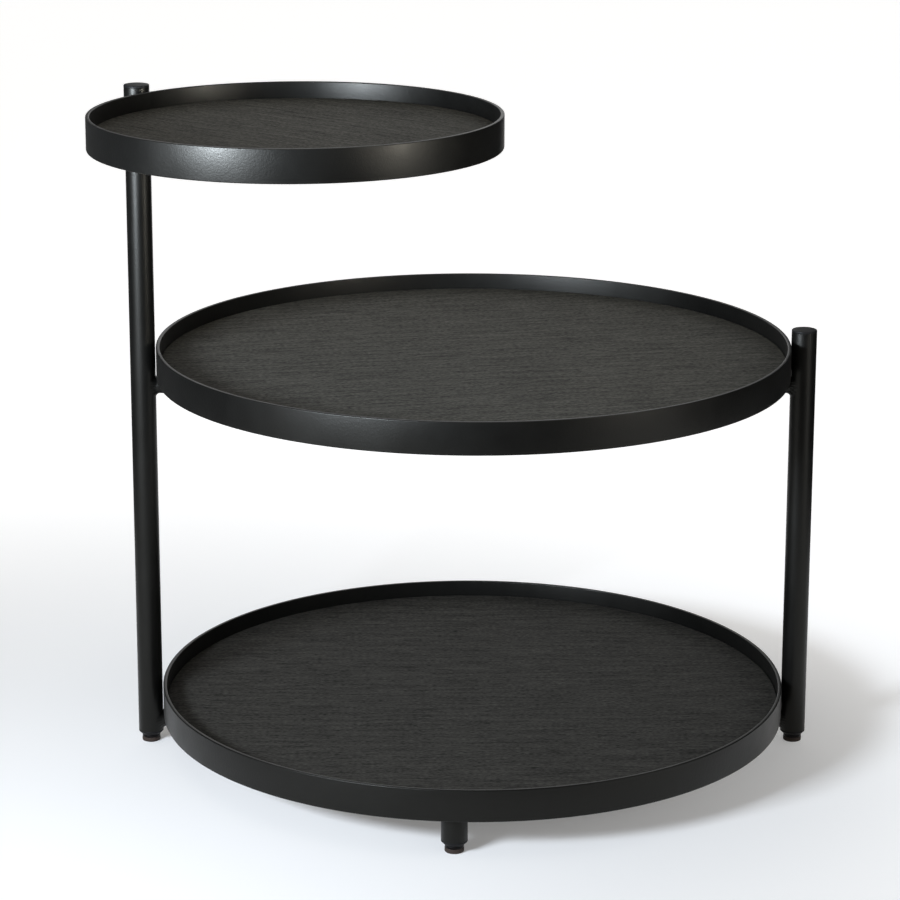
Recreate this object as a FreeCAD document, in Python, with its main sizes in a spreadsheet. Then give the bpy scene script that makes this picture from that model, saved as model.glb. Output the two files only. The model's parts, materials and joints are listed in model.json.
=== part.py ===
import FreeCAD
import Part
import Sketcher
import os
import re

# A side table with three round trays on two posts and two short legs.
# X runs from the tall post to the short post, -Y is the front, Z is up and the floor is at 0.
# The origin is the point of the floor under the middle of the whole table.

# Driving sizes, in millimetres, with turns in degrees.
SIZES = {
    # Trays
    "tray_diameter": 500.0,
    "top_tray_diameter": 310.0,
    "rim_height": 25.0,
    "rim_wall": 3.0,
    "rim_edge_round": 0.8,
    "ledge_width": 27.0,
    "ledge_thickness": 2.0,
    "ledge_gap": 0.2,
    "board_thickness": 10.0,
    "board_gap": 0.4,
    "bottom_tray_level": 30.0,
    "middle_tray_drop": 34.0,
    "top_tray_drop": 30.0,
    # Posts and legs
    "post_diameter": 20.0,
    "post_wall": 1.5,
    "post_gap": 1.5,
    "tall_post_height": 539.0,
    "short_post_height": 344.0,
    "leg_inset": 18.0,
    "leg_turn": 4.0,
    # Post caps
    "cap_flange": 2.0,
    "cap_edge_round": 0.8,
    "cap_plug_length": 12.0,
    "cap_shell": 2.0,
    "plug_gap": 0.1,
    # Bars and their welds
    "bar_diameter": 12.0,
    "bar_drop": 12.0,
    "weld_length": 3.0,
    "weld_swell": 2.2,
    "weld_gap": 0.05,
    "arm_turn": 40.0,
    "arm_reach": 225.0,
    "arm_end_bevel": 1.5,
    # Tray supports
    "saddle_length": 20.0,
    "saddle_width": 24.0,
    "plate_setback": 30.0,
    "plate_diameter": 80.0,
    "plate_bolt_circle": 56.0,
    # Screws
    "screw_diameter": 4.0,
    "screw_length": 10.0,
    "screw_tip": 1.2,
    "screw_head_diameter": 8.0,
    "screw_head_height": 2.4,
    "screw_head_round": 1.0,
    "screw_gap": 0.2,
    "cross_span": 4.2,
    "cross_slot": 1.0,
    "cross_depth": 1.2,
    # Levelling feet
    "insert_flange": 3.7,
    "insert_bevel": 2.6,
    "insert_length": 10.0,
    "stud_diameter": 8.0,
    "stud_length": 14.0,
    "stud_tip": 0.8,
    "thread_gap": 0.1,
    "collar_diameter": 14.4,
    "collar_height": 2.2,
    "collar_edge_round": 0.4,
    "stud_head_diameter": 10.0,
    "stud_head_height": 1.6,
    "pad_diameter": 14.6,
    "pad_height": 3.6,
    "pad_sole": 1.0,
    "pad_edge_round": 0.8,
    "pad_gap": 0.1,
}

# How many screws hold each board, by tray, and how many hold the plate.
LARGE_RIM_SCREWS = 8
TOP_RIM_SCREWS = 6
PLATE_SCREWS = 4
FULL_TURN = 360.0
# How close an edge lies to the place where it is looked for.
EDGE_MATCH = 1e-4

# Places seen from above, as formulas in the sizes: the offsets and edges are counted from the axis of the
# two large trays, and the pairs of places from the origin.
POST_OFFSET = "(tray_diameter / 2 + post_gap + post_diameter / 2)"
LEG_OFFSET = "(tray_diameter / 2 - leg_inset)"
TOP_REACH = "(top_tray_diameter / 2 + post_gap + post_diameter / 2)"
LEFT_EDGE = f"({POST_OFFSET} - {TOP_REACH} * cos(arm_turn) + top_tray_diameter / 2)"
RIGHT_EDGE = f"({POST_OFFSET} + post_diameter / 2)"
FRONT_EDGE = f"({TOP_REACH} * sin(arm_turn) + top_tray_diameter / 2)"
AXIS_X = f"({LEFT_EDGE} - {RIGHT_EDGE}) / 2"
AXIS_Y = f"({FRONT_EDGE} - tray_diameter / 2) / 2"
TRAY_AXIS = (AXIS_X, AXIS_Y)
TALL_POST = (f"{AXIS_X} - {POST_OFFSET}", AXIS_Y)
SHORT_POST = (f"{AXIS_X} + {POST_OFFSET}", AXIS_Y)
FRONT_LEG = (f"{AXIS_X} - {LEG_OFFSET} * sin(leg_turn)", f"{AXIS_Y} - {LEG_OFFSET} * cos(leg_turn)")
REAR_LEG = (f"{AXIS_X} + {LEG_OFFSET} * sin(leg_turn)", f"{AXIS_Y} + {LEG_OFFSET} * cos(leg_turn)")
TOP_TRAY = (f"{TALL_POST[0]} + {TOP_REACH} * cos(arm_turn)", f"{AXIS_Y} - {TOP_REACH} * sin(arm_turn)")
PLATE_REACH = "(arm_reach - plate_setback)"
PLATE = (f"{TALL_POST[0]} + {PLATE_REACH} * cos(arm_turn)", f"{AXIS_Y} - {PLATE_REACH} * sin(arm_turn)")

# Heights and radii that several pieces share. A tray's level is the foot of its rim: the middle and top trays
# hang from the tops of the posts that carry them.
BOTTOM_LEVEL = "bottom_tray_level"
MIDDLE_LEVEL = "(short_post_height - middle_tray_drop)"
TOP_LEVEL = "(tall_post_height - top_tray_drop)"
FLANGE_FOOT = "(pad_height + collar_height)"
TUBE_FOOT = f"({FLANGE_FOOT} + insert_flange)"
PLUG_DIAMETER = "(post_diameter - 2 * post_wall - 2 * plug_gap)"
HOOP_BORE = "(tray_diameter - 2 * rim_wall)"
TOP_HOOP_BORE = "(top_tray_diameter - 2 * rim_wall)"
PILOT_DEPTH = "(screw_length - ledge_thickness + screw_gap)"
LEDGE_MIDDLE = "(rim_wall + ledge_width / 2)"
SCREW_HOLE = "(screw_diameter + 2 * screw_gap)"
SADDLE_OFFSET = f"(tray_diameter / 2 - {LEDGE_MIDDLE})"
INNER_REACH = f"(post_diameter / 2 + post_gap + {LEDGE_MIDDLE})"
INNER_SADDLE = (
    f"{TALL_POST[0]} + {INNER_REACH} * cos(arm_turn)",
    f"{AXIS_Y} - {INNER_REACH} * sin(arm_turn)",
)

doc = FreeCAD.newDocument("TieredSideTable")
sheet = doc.addObject("Spreadsheet::Sheet", "Sizes")
for row, (size_name, size_value) in enumerate(SIZES.items(), start=1):
    sheet.set(f"A{row}", size_name)
    sheet.set(f"B{row}", str(size_value))
    sheet.setAlias(f"B{row}", size_name)
doc.recompute()

subparts = []


def formula(text):
    """Point each size name in a formula at its cell of the sheet."""
    return re.sub("[a-z_]+", lambda word: f"Sizes.{word[0]}" if word[0] in SIZES else word[0], text)


def value(text):
    """Work out a formula, for the first position of what a constraint then holds."""
    return float(sheet.evalExpression(formula(text)))


def origin_feature(body, role):
    """Find one of a body's own origin planes or axes."""
    return next(item for item in body.Origin.OriginFeatures if item.Role == role)


def add_body(label, x, y, z, turn="0"):
    """Start a sub-part at its place, turned about its own upright axis."""
    body = doc.addObject("PartDesign::Body", label)
    body.Label = label
    body.setExpression("Placement.Base.x", formula(x))
    body.setExpression("Placement.Base.y", formula(y))
    body.setExpression("Placement.Base.z", formula(z))
    if turn != "0":
        body.setExpression("Placement.Rotation.Angle", formula(turn))
    subparts.append(body)
    return body


def add_sketch(body, role, x="0", z="0", tilt="0"):
    """Lay a sketch on an origin plane, moved along it (x) or off it (z) and turned about its upright."""
    sketch = body.newObject("Sketcher::SketchObject", f"{body.Name}_sketch")
    sketch.AttachmentSupport = [(origin_feature(body, role), "")]
    sketch.MapMode = "FlatFace"
    if tilt != "0":
        upright = FreeCAD.Rotation(FreeCAD.Vector(0, 1, 0), value(tilt))
        sketch.AttachmentOffset = FreeCAD.Placement(FreeCAD.Vector(), upright)
        sketch.setExpression("AttachmentOffset.Rotation.Angle", formula(tilt))
    for axis, text in (("x", x), ("z", z)):
        if text != "0":
            sketch.setExpression(f"AttachmentOffset.Base.{axis}", formula(text))
    return sketch


def pin_point(sketch, curve, point, x, y):
    """Hold a point of a curve at two formulas, or on an axis where one is zero."""
    for kind, text, axis in (("DistanceX", x, -2), ("DistanceY", y, -1)):
        if text == "0":
            sketch.addConstraint(Sketcher.Constraint("PointOnObject", curve, point, axis))
        else:
            held = sketch.addConstraint(Sketcher.Constraint(kind, -1, 1, curve, point, value(text)))
            sketch.setExpression(f"Constraints[{held}]", formula(text))


def draw_outline(sketch, corners):
    """Draw straight sides through the corners and close them."""
    spots = [FreeCAD.Vector(value(x), value(y), 0) for x, y in corners]
    count = len(corners)
    for side in range(count):
        sketch.addGeometry(Part.LineSegment(spots[side], spots[(side + 1) % count]))
    for side in range(count):
        sketch.addConstraint(Sketcher.Constraint("Coincident", side, 2, (side + 1) % count, 1))
    for side, (x, y) in enumerate(corners):
        pin_point(sketch, side, 1, x, y)


def draw_circle(sketch, diameter, x="0", y="0"):
    """Draw a circle about a point."""
    centre = FreeCAD.Vector(value(x), value(y), 0)
    curve = sketch.addGeometry(Part.Circle(centre, FreeCAD.Vector(0, 0, 1), value(diameter) / 2))
    pin_point(sketch, curve, 3, x, y)
    held = sketch.addConstraint(Sketcher.Constraint("Diameter", curve, value(diameter)))
    sketch.setExpression(f"Constraints[{held}]", formula(diameter))


def revolve(body, corners, axis="V_Axis", **shift):
    """Turn an outline into a round solid, about the upright (V) or the lengthwise (H) axis of its sketch."""
    sketch = add_sketch(body, "XZ_Plane" if axis == "V_Axis" else "XY_Plane", **shift)
    draw_outline(sketch, corners)
    feature = body.newObject("PartDesign::Revolution", f"{body.Name}_turned")
    feature.Profile = sketch
    feature.ReferenceAxis = (sketch, [axis])
    feature.Angle = FULL_TURN
    return feature


def pad(body, sketch, length):
    """Raise a sketch into a solid."""
    feature = body.newObject("PartDesign::Pad", f"{body.Name}_pad")
    feature.Profile = sketch
    feature.setExpression("Length", formula(length))
    return feature


def drill(body, sketch, depth=None):
    """Cut a sketch upward to a depth or, with none given, right through both ways."""
    doc.recompute()
    feature = body.newObject("PartDesign::Pocket", f"{body.Name}_cut")
    feature.Profile = sketch
    if depth is None:
        feature.Type = "ThroughAll"
        feature.SideType = "Symmetric"
    else:
        feature.Reversed = True
        feature.setExpression("Length", formula(depth))
    return feature


def repeat_round(body, features, count):
    """Repeat features evenly about the body's upright axis."""
    doc.recompute()
    pattern = body.newObject("PartDesign::PolarPattern", f"{body.Name}_pattern")
    pattern.Originals = features
    pattern.Axis = (origin_feature(body, "Z_Axis"), [""])
    pattern.Angle = FULL_TURN
    pattern.Occurrences = count
    body.Tip = pattern


def round_edges(body, base, rounding, diameters, height):
    """Round the circular edges of these diameters at one height."""
    doc.recompute()
    wanted = [(value(diameter) / 2, value(height)) for diameter in diameters]
    names = []
    for number, edge in enumerate(base.Shape.Edges, start=1):
        if not isinstance(edge.Curve, Part.Circle):
            continue
        off = [abs(edge.Curve.Radius - radius) + abs(edge.Curve.Center.z - z) for radius, z in wanted]
        if min(off) < EDGE_MATCH:
            names.append(f"Edge{number}")
    fillet = body.newObject("PartDesign::Fillet", f"{body.Name}_round")
    fillet.Base = (base, names)
    fillet.setExpression("Radius", formula(rounding))
    return fillet


def make_tray(name, place, level, diameter, bore, screws, turn):
    """Hoop, ledge ring, board and screws of one tray; returns the board for further holes."""
    half_step = f"{FULL_TURN} / {2 * screws}"
    screw_radius = f"({diameter} / 2 - {LEDGE_MIDDLE})"
    first_hole = (f"{screw_radius} * cos({half_step})", f"{screw_radius} * sin({half_step})")

    hoop = add_body(f"{name}_tray_rim", *place, level)
    wall = revolve(
        hoop,
        [
            (f"{bore} / 2", "0"),
            (f"{diameter} / 2", "0"),
            (f"{diameter} / 2", "rim_height"),
            (f"{bore} / 2", "rim_height"),
        ],
    )
    rounded = round_edges(hoop, wall, "rim_edge_round", (diameter, bore), "rim_height")
    round_edges(hoop, rounded, "rim_edge_round", (diameter,), "0")

    ledge = add_body(f"{name}_tray_ledge", *place, level, turn)
    ring = add_sketch(ledge, "XY_Plane")
    draw_circle(ring, f"{bore} - 2 * ledge_gap")
    draw_circle(ring, f"{bore} - 2 * ledge_width")
    pad(ledge, ring, "ledge_thickness")
    hole = add_sketch(ledge, "XY_Plane")
    draw_circle(hole, SCREW_HOLE, *first_hole)
    repeat_round(ledge, [drill(ledge, hole)], screws)

    board = add_body(f"{name}_tray_board", *place, f"{level} + ledge_thickness", turn)
    disc = add_sketch(board, "XY_Plane")
    draw_circle(disc, f"{bore} - 2 * board_gap")
    pad(board, disc, "board_thickness")
    pilot = add_sketch(board, "XY_Plane")
    draw_circle(pilot, SCREW_HOLE, *first_hole)
    repeat_round(board, [drill(board, pilot, PILOT_DEPTH)], screws)

    make_screws(f"{name}_rim_screws", place, level, screw_radius, screws, f"{turn} + {half_step}")
    return board


def make_screws(name, place, level, circle_radius, count, turn):
    """A ring of cross-slotted pan-head screws, driven upward, with their heads under the level."""
    screws = add_body(name, *place, level, turn)
    shank = revolve(
        screws,
        [
            ("0", "-screw_head_height"),
            ("screw_head_diameter / 2 - screw_head_round", "-screw_head_height"),
            ("screw_head_diameter / 2", "-screw_head_height + screw_head_round"),
            ("screw_head_diameter / 2", "0"),
            ("screw_diameter / 2", "0"),
            ("screw_diameter / 2", "screw_length - screw_tip"),
            ("0", "screw_length"),
        ],
        x=circle_radius,
    )
    cross = add_sketch(screws, "XY_Plane", x=circle_radius, z="-screw_head_height")
    span = "cross_span / 2"
    slot = "cross_slot / 2"
    draw_outline(
        cross,
        [
            (span, f"-{slot}"),
            (span, slot),
            (slot, slot),
            (slot, span),
            (f"-{slot}", span),
            (f"-{slot}", slot),
            (f"-{span}", slot),
            (f"-{span}", f"-{slot}"),
            (f"-{slot}", f"-{slot}"),
            (f"-{slot}", f"-{span}"),
            (slot, f"-{span}"),
            (slot, f"-{slot}"),
        ],
    )
    repeat_round(screws, [shank, drill(screws, cross, "cross_depth")], count)


def make_tube(name, place, top):
    """A post or leg of round tube, from its insert's flange up to a height."""
    tube = add_body(name, *place, TUBE_FOOT)
    ring = add_sketch(tube, "XY_Plane")
    draw_circle(ring, "post_diameter")
    draw_circle(ring, "post_diameter - 2 * post_wall")
    pad(tube, ring, f"{top} - {TUBE_FOOT}")


def make_cap(name, place, top):
    """A push-in cap with a hollow plug and a flange as wide as the tube."""
    cap = add_body(name, *place, f"{top} - cap_flange")
    plug = f"{PLUG_DIAMETER} / 2"
    turned = revolve(
        cap,
        [
            ("0", "-cap_shell"),
            (f"{plug} - cap_shell", "-cap_shell"),
            (f"{plug} - cap_shell", "-cap_plug_length"),
            (plug, "-cap_plug_length"),
            (plug, "0"),
            ("post_diameter / 2", "0"),
            ("post_diameter / 2", "cap_flange"),
            ("0", "cap_flange"),
        ],
    )
    round_edges(cap, turned, "cap_edge_round", ("post_diameter",), "cap_flange")


def bar_corners(start, end, weld_at_start, weld_at_end):
    """Half the outline of a bar between two places along its length, with a weld's swell at either end."""
    radius = "bar_diameter / 2"
    swollen = f"{radius} + weld_swell"
    corners = [(start, "0")]
    if weld_at_start:
        corners += [(start, swollen), (f"{start} + post_diameter / 2", swollen)]
        corners += [(f"{start} + post_diameter / 2 + weld_length", radius)]
    else:
        corners += [(start, radius)]
    if weld_at_end:
        corners += [(f"{end} - post_diameter / 2 - weld_length", radius)]
        corners += [(f"{end} - post_diameter / 2", swollen), (end, swollen)]
    else:
        corners += [(f"{end} - arm_end_bevel", radius), (end, f"{radius} - arm_end_bevel")]
    return corners + [(end, "0")]


def cope(body, places):
    """Shape a bar's ends to the tubes that it is welded to."""
    tubes = add_sketch(body, "XY_Plane")
    for x in places:
        draw_circle(tubes, "post_diameter + 2 * weld_gap", x)
    drill(body, tubes)


def make_cross_bar(name, level):
    """A bar from post to post under a large tray."""
    bar = add_body(name, *TRAY_AXIS, f"{level} - bar_drop")
    revolve(bar, bar_corners(f"-{POST_OFFSET}", POST_OFFSET, True, True), "H_Axis")
    cope(bar, [f"-{POST_OFFSET}", POST_OFFSET])


def make_leg_bar(name, turn):
    """A bar from the bottom cross bar out to a leg, shaped to both."""
    bar = add_body(name, *TRAY_AXIS, f"{BOTTOM_LEVEL} - bar_drop", turn)
    revolve(bar, bar_corners("0", LEG_OFFSET, False, True), "H_Axis")
    cope(bar, [LEG_OFFSET])
    crossing = add_sketch(bar, "XZ_Plane", tilt="leg_turn")
    draw_circle(crossing, "bar_diameter + 2 * weld_gap")
    drill(bar, crossing)


def make_saddle(name, x, y, level, turn="0"):
    """A block that straddles a bar and carries what lies above it."""
    saddle = add_body(name, x, y, level, turn)
    block = add_sketch(saddle, "YZ_Plane")
    side = "saddle_width / 2"
    draw_outline(block, [(f"-{side}", "-bar_drop"), (side, "-bar_drop"), (side, "0"), (f"-{side}", "0")])
    length = pad(saddle, block, "saddle_length")
    length.SideType = "Symmetric"
    groove = add_sketch(saddle, "YZ_Plane")
    draw_circle(groove, "bar_diameter + 2 * weld_gap", "0", "-bar_drop")
    drill(saddle, groove)


def make_foot(name, place):
    """Insert, stud and pad of one levelling foot, with the foot screwed right in."""
    bore = "stud_diameter / 2 + thread_gap"
    plug = f"{PLUG_DIAMETER} / 2"
    insert = add_body(f"{name}_foot_insert", *place, FLANGE_FOOT)
    revolve(
        insert,
        [
            (bore, "0"),
            ("post_diameter / 2 - insert_bevel", "0"),
            ("post_diameter / 2", "insert_bevel"),
            ("post_diameter / 2", "insert_flange"),
            (plug, "insert_flange"),
            (plug, "insert_flange + insert_length"),
            (bore, "insert_flange + insert_length"),
        ],
    )

    stud = add_body(f"{name}_foot_stud", *place, "0")
    turned = revolve(
        stud,
        [
            ("0", "pad_sole"),
            ("stud_head_diameter / 2", "pad_sole"),
            ("stud_head_diameter / 2", "pad_sole + stud_head_height"),
            ("stud_diameter / 2", "pad_sole + stud_head_height"),
            ("stud_diameter / 2", "pad_height"),
            ("collar_diameter / 2", "pad_height"),
            ("collar_diameter / 2", FLANGE_FOOT),
            ("stud_diameter / 2", FLANGE_FOOT),
            ("stud_diameter / 2", f"{FLANGE_FOOT} + stud_length - stud_tip"),
            ("stud_diameter / 2 - stud_tip", f"{FLANGE_FOOT} + stud_length"),
            ("0", f"{FLANGE_FOOT} + stud_length"),
        ],
    )
    round_edges(stud, turned, "collar_edge_round", ("collar_diameter",), FLANGE_FOOT)

    sole = add_body(f"{name}_foot_pad", *place, "0")
    turned = revolve(
        sole,
        [
            ("0", "0"),
            ("pad_diameter / 2", "0"),
            ("pad_diameter / 2", "pad_height"),
            ("stud_diameter / 2 + pad_gap", "pad_height"),
            ("stud_diameter / 2 + pad_gap", "pad_sole + stud_head_height + pad_gap"),
            ("stud_head_diameter / 2 + pad_gap", "pad_sole + stud_head_height + pad_gap"),
            ("stud_head_diameter / 2 + pad_gap", "pad_sole"),
            ("0", "pad_sole"),
        ],
    )
    rounded = round_edges(sole, turned, "pad_edge_round", ("pad_diameter",), "0")
    round_edges(sole, rounded, "pad_edge_round", ("pad_diameter",), "pad_height")


# Posts, legs and caps
make_tube("tall_post", TALL_POST, "(tall_post_height - cap_flange)")
make_tube("short_post", SHORT_POST, "(short_post_height - cap_flange)")
make_tube("front_leg", FRONT_LEG, BOTTOM_LEVEL)
make_tube("rear_leg", REAR_LEG, BOTTOM_LEVEL)
make_cap("tall_post_cap", TALL_POST, "tall_post_height")
make_cap("short_post_cap", SHORT_POST, "short_post_height")

# Bars
make_cross_bar("middle_cross_bar", MIDDLE_LEVEL)
make_cross_bar("bottom_cross_bar", BOTTOM_LEVEL)
make_leg_bar("front_leg_bar", "-90 - leg_turn")
make_leg_bar("rear_leg_bar", "90 - leg_turn")
arm = add_body("top_tray_arm", *TALL_POST, f"{TOP_LEVEL} - bar_drop", "-arm_turn")
revolve(arm, bar_corners("0", "arm_reach", True, False), "H_Axis")
cope(arm, ["0"])

# Trays
make_tray("bottom", TRAY_AXIS, BOTTOM_LEVEL, "tray_diameter", HOOP_BORE, LARGE_RIM_SCREWS, "0")
make_tray("middle", TRAY_AXIS, MIDDLE_LEVEL, "tray_diameter", HOOP_BORE, LARGE_RIM_SCREWS, "0")
top_board = make_tray(
    "top", TOP_TRAY, TOP_LEVEL, "top_tray_diameter", TOP_HOOP_BORE, TOP_RIM_SCREWS, "-arm_turn"
)

# Tray supports
for tray_name, tray_level in (("bottom", BOTTOM_LEVEL), ("middle", MIDDLE_LEVEL)):
    for side_name, sign in (("left", "-"), ("right", "+")):
        saddle_x = f"{AXIS_X} {sign} {SADDLE_OFFSET}"
        make_saddle(f"{tray_name}_{side_name}_saddle", saddle_x, AXIS_Y, tray_level)
make_saddle("top_inner_saddle", *INNER_SADDLE, TOP_LEVEL, "-arm_turn")
make_saddle("top_outer_saddle", *PLATE, TOP_LEVEL, "-arm_turn")

# The plate near the arm's end, and its screws into the top board
PLATE_TURN = f"-arm_turn + {FULL_TURN} / {2 * PLATE_SCREWS}"
plate = add_body("top_tray_plate", *PLATE, TOP_LEVEL, PLATE_TURN)
plate_disc = add_sketch(plate, "XY_Plane")
draw_circle(plate_disc, "plate_diameter")
pad(plate, plate_disc, "ledge_thickness")
plate_hole = add_sketch(plate, "XY_Plane")
draw_circle(plate_hole, SCREW_HOLE, "plate_bolt_circle / 2")
repeat_round(plate, [drill(plate, plate_hole)], PLATE_SCREWS)
make_screws("top_plate_screws", PLATE, TOP_LEVEL, "plate_bolt_circle / 2", PLATE_SCREWS, PLATE_TURN)
plate_pilots = add_sketch(top_board, "XY_Plane")
for along in ("-", "+"):
    for across in ("-", "+"):
        draw_circle(
            plate_pilots,
            SCREW_HOLE,
            f"{PLATE_REACH} - {TOP_REACH} {along} plate_bolt_circle / sqrt(8)",
            f"{across} plate_bolt_circle / sqrt(8)",
        )
top_board.Tip = drill(top_board, plate_pilots, PILOT_DEPTH)

# Feet
for foot_name, foot_place in (
    ("tall_post", TALL_POST),
    ("short_post", SHORT_POST),
    ("front_leg", FRONT_LEG),
    ("rear_leg", REAR_LEG),
):
    make_foot(foot_name, foot_place)

doc.recompute()
faults = [f"{item.Label} is {item.State}" for item in doc.Objects if {"Invalid", "Error"} & set(item.State)]
for item in doc.Objects:
    if item.isDerivedFrom("PartDesign::Pocket") and item.Shape.Volume >= item.BaseFeature.Shape.Volume:
        faults.append(f"{item.Label} cuts nothing")
for body in subparts:
    if body.Shape.isNull() or not body.Shape.isValid():
        faults.append(f"{body.Label} has no valid shape")
if faults:
    raise SystemExit("\n".join(faults))

os.makedirs("parts", exist_ok=True)
for body in subparts:
    body.Shape.exportStep(f"parts/{body.Label}.step")
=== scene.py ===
"""Looks of a tiered side table: three round trays between two posts, on levelling feet."""

import json
import logging
import math
from collections.abc import Mapping, Sequence
from dataclasses import dataclass, field
from enum import Enum

import bmesh
import bpy
from mathutils import Matrix, Vector

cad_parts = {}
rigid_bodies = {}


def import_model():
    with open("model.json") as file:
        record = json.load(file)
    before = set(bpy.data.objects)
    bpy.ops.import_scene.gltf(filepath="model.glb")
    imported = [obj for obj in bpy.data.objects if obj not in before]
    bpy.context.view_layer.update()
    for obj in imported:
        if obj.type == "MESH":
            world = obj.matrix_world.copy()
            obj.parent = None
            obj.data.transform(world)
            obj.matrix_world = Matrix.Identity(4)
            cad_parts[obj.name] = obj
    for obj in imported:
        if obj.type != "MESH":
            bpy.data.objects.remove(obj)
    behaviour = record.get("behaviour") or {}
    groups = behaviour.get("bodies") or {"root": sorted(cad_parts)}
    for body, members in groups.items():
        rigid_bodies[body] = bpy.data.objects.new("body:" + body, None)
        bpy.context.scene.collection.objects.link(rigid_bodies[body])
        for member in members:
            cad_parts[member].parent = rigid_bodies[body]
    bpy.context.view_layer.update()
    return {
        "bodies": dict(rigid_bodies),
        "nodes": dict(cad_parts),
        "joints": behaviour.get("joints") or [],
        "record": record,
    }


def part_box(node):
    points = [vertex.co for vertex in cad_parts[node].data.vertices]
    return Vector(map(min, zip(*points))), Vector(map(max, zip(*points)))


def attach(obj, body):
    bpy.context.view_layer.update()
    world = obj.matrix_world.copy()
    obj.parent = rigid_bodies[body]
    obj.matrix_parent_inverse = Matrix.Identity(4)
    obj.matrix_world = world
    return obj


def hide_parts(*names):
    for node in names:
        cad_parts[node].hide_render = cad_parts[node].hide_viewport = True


LOG = logging.getLogger("tiered_side_table")
MM = 0.001
FULL_TURN = 2 * math.pi
SHARP_ANGLE = math.radians(32)
FRAME_BODY = "frame"
WHITE = "#ffffff"
# Points of a shape that are closer than this, in millimetres, become one.
JOIN_DISTANCE = 1e-5
# Most values of a noise pattern lie between these two.
NOISE_LOW, NOISE_HIGH = 0.3, 0.7
# Millimetres between the points along a weld, and points from one of its ripples to the next.
WELD_STEP, WELD_RIPPLE = 0.45, 4.0

Corner = tuple[float, float, float]
Stop = tuple[float, float]
Tones = tuple[str, str]
Turns = Sequence[float]
Row = list[Vector]
Node, Socket, Tree = bpy.types.Node, bpy.types.NodeSocket, bpy.types.NodeTree


class Slot(Enum):
    """The record's material slots."""

    STEEL = "powder_coated_steel"
    VENEER = "stained_veneer_board"
    NYLON = "black_nylon"
    ZINC = "blackened_steel"
    PAD = "foot_plastic"


class Closing(Enum):
    """How the ends of an outline meet when it is turned on a lathe."""

    RING = "the outline is closed"
    POLES = "the outline starts and ends on the axis"


def linear(code: str) -> tuple[float, float, float, float]:
    """Turn an sRGB hex colour into linear light.

    Args:
        code: Six hex digits after a hash.

    Returns:
        Red, green, blue and an alpha of 1.
    """
    parts = [int(code[at : at + 2], 16) / 255 for at in (1, 3, 5)]
    light = [p / 12.92 if p <= 0.04045 else ((p + 0.055) / 1.055) ** 2.4 for p in parts]
    return (light[0], light[1], light[2], 1.0)


def per_metre(size_mm: float) -> float:
    """Return the scale of a pattern whose features are this many millimetres across."""
    return 1 / (size_mm * MM)


def set_inputs(tree: Tree, node: Node, inputs: Mapping[str | int, object]) -> None:
    """Link or set the inputs of a node.

    Args:
        tree: The node's tree.
        node: The node.
        inputs: Sockets to link, or plain values, by the input's name or number.
    """
    for name, value in inputs.items():
        if isinstance(value, Socket):
            tree.links.new(value, node.inputs[name])
        else:
            node.inputs[name].default_value = value


def add_node(
    tree: Tree,
    kind: str,
    inputs: Mapping[str | int, object] | None = None,
    **settings: object,
) -> Node:
    """Add a node with its settings, and link or set its inputs.

    Args:
        tree: The material's or world's node tree.
        kind: The node's type, without its common prefix.
        inputs: Sockets to link, or plain values, by the input's name or number.
        settings: The node's own properties.

    Returns:
        The new node.
    """
    node = tree.nodes.new(f"ShaderNode{kind}")
    for name, value in settings.items():
        setattr(node, name, value)
    set_inputs(tree, node, inputs or {})
    return node


def add_object(name: str, data: bpy.types.ID) -> bpy.types.Object:
    """Add an object to the scene.

    Args:
        name: Its name.
        data: Its mesh, light or camera.

    Returns:
        The new object.
    """
    item = bpy.data.objects.new(name, data)
    bpy.context.scene.collection.objects.link(item)
    return item


@dataclass(frozen=True, kw_only=True)
class Finish:
    """A surface: its material's name, its record slot, how it mirrors light and the nodes that draw it."""

    name: str
    slot: Slot
    ior: float = 1.5
    gloss: float = 0.5
    tint: str = WHITE
    metallic: float = 0.0

    def draw(self, tree: Tree, shader: Node) -> None:
        """Add the pattern nodes and link them to the shader.

        Args:
            tree: The material's node tree.
            shader: Its Principled shader.
        """
        raise NotImplementedError

    def material(self) -> bpy.types.Material:
        """Give the material, which is made the first time that it is asked for.

        Returns:
            The material.
        """
        made = bpy.data.materials.get(self.name)
        if made is None:
            made = bpy.data.materials.new(self.name)
            made.use_nodes = True
            tree = made.node_tree
            shader = tree.nodes["Principled BSDF"]
            mirror = {"IOR": self.ior, "Specular IOR Level": self.gloss, "Specular Tint": linear(self.tint)}
            set_inputs(tree, shader, {**mirror, "Metallic": self.metallic})
            self.draw(tree, shader)
        return made


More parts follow.
